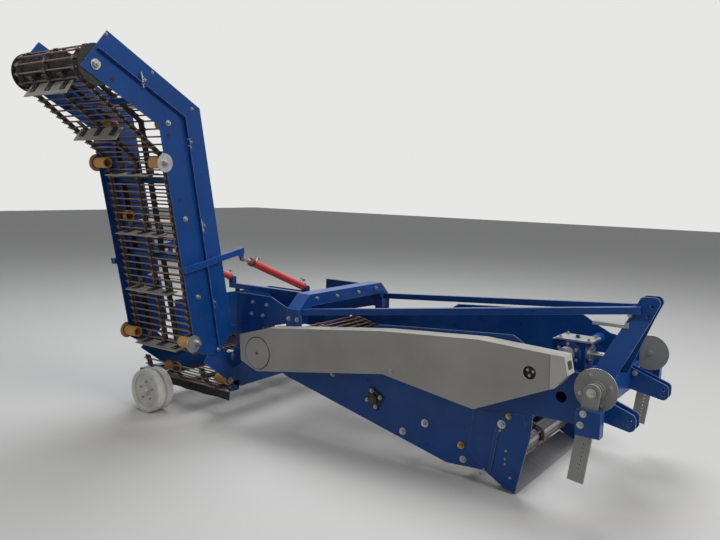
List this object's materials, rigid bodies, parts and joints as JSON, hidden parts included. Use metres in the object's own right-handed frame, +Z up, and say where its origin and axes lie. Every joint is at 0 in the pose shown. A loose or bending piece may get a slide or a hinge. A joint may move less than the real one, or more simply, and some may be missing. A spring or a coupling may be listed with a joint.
{
  "type": "potato harvester",
  "caption": "Mounted potato harvester with share, rod digging web, chain guard, cross conveyor, tall folding side elevator, coulters and gauge wheels.",
  "frame": {"origin": "on the ground below the middle of the machine's overall box", "axes": "+X forward towards the hitch, +Y to the machine's left, +Z up"},
  "size_m": [3.382, 2.532, 2.3996],
  "materials": {
    "blue_paint": "gloss paint",
    "grey_paint": "satin paint",
    "bright_steel": "ground steel",
    "brown_steel": "raw rolled rods",
    "yellow_plastic": "moulded rollers",
    "red_paint": "gloss paint",
    "pale_plastic": "moulded wheels",
    "black_rubber": "sheet rubber"
  },
  "bodies": {
    "base": {"side_plate_right": "blue_paint", "side_plate_left": "blue_paint", "share": "bright_steel", "front_beam": "blue_paint", "lower_link_right": "blue_paint", "lower_link_left": "blue_paint", "mast": "blue_paint", "upper_rails": "blue_paint", "arch_beam": "blue_paint", "gearbox": "blue_paint", "cross_shaft": "bright_steel", "chain_guard": "grey_paint", "guard_cover": "grey_paint", "digging_belts": "black_rubber", "digging_rods": "brown_steel", "digging_rollers": "yellow_plastic", "cross_belts": "black_rubber", "cross_rods": "brown_steel", "cross_plate_front": "blue_paint", "cross_plate_rear": "blue_paint", "cross_rollers": "yellow_plastic", "rear_links": "blue_paint", "hopper_sides": "blue_paint", "hopper_back": "blue_paint", "cylinder_rail": "blue_paint", "rubber_flap": "black_rubber", "coulter_holders": "blue_paint", "coulter_shanks": "grey_paint", "wheel_mount": "blue_paint"},
    "elevator": {"lift_frame_front": "blue_paint", "lift_frame_rear": "blue_paint", "lift_tubes": "blue_paint", "lift_belts": "black_rubber", "lift_rods": "brown_steel", "lift_flights": "bright_steel", "lift_rollers": "yellow_plastic", "lift_arms": "blue_paint"},
    "cylinder_barrels": {"barrel_front": "red_paint", "barrel_rear": "red_paint"},
    "cylinder_rods": {"rod_front": "bright_steel", "rod_rear": "bright_steel"},
    "disc_right": {"coulter_disc_right": "grey_paint"},
    "disc_left": {"coulter_disc_left": "grey_paint"},
    "wheel_right": {"gauge_wheel_right": "pale_plastic"},
    "wheel_left": {"gauge_wheel_left": "pale_plastic"}
  },
  "joints": [
    {"name": "elevator_fold", "type": "hinge", "parent": "base", "child": "elevator", "pos_m": [-1.275, -0.283, 0.486], "axis": [1, 0, 0], "range_deg": [0, 35]},
    {"name": "cylinder_swing", "type": "hinge", "parent": "base", "child": "cylinder_barrels", "pos_m": [-1.275, 0.567, 0.818], "axis": [1, 0, 0], "range_deg": [0, 7.5]},
    {"name": "cylinder_stroke", "type": "slide", "parent": "cylinder_barrels", "child": "cylinder_rods", "axis": [0, -0.9255, 0.3787], "range_m": [0, 0.363]},
    {"name": "wheel_spin_right", "type": "hinge", "parent": "base", "child": "wheel_right", "pos_m": [-1.425, -0.429, 0.15], "axis": [0, 1, 0], "continuous": true},
    {"name": "wheel_spin_left", "type": "hinge", "parent": "base", "child": "wheel_left", "pos_m": [-1.425, 1.203, 0.15], "axis": [0, 1, 0], "continuous": true},
    {"name": "disc_spin_right", "type": "hinge", "parent": "base", "child": "disc_right", "pos_m": [1.53, -0.128, 0.645], "axis": [0, 1, 0], "continuous": true},
    {"name": "disc_spin_left", "type": "hinge", "parent": "base", "child": "disc_left", "pos_m": [1.53, 0.902, 0.645], "axis": [0, 1, 0], "continuous": true}
  ],
  "couplings": [
    {"joint": "cylinder_swing", "follows": "elevator_fold", "ratio": 0.2121},
    {"joint": "cylinder_stroke", "follows": "elevator_fold", "m_per_rad": 0.5931}
  ]
}
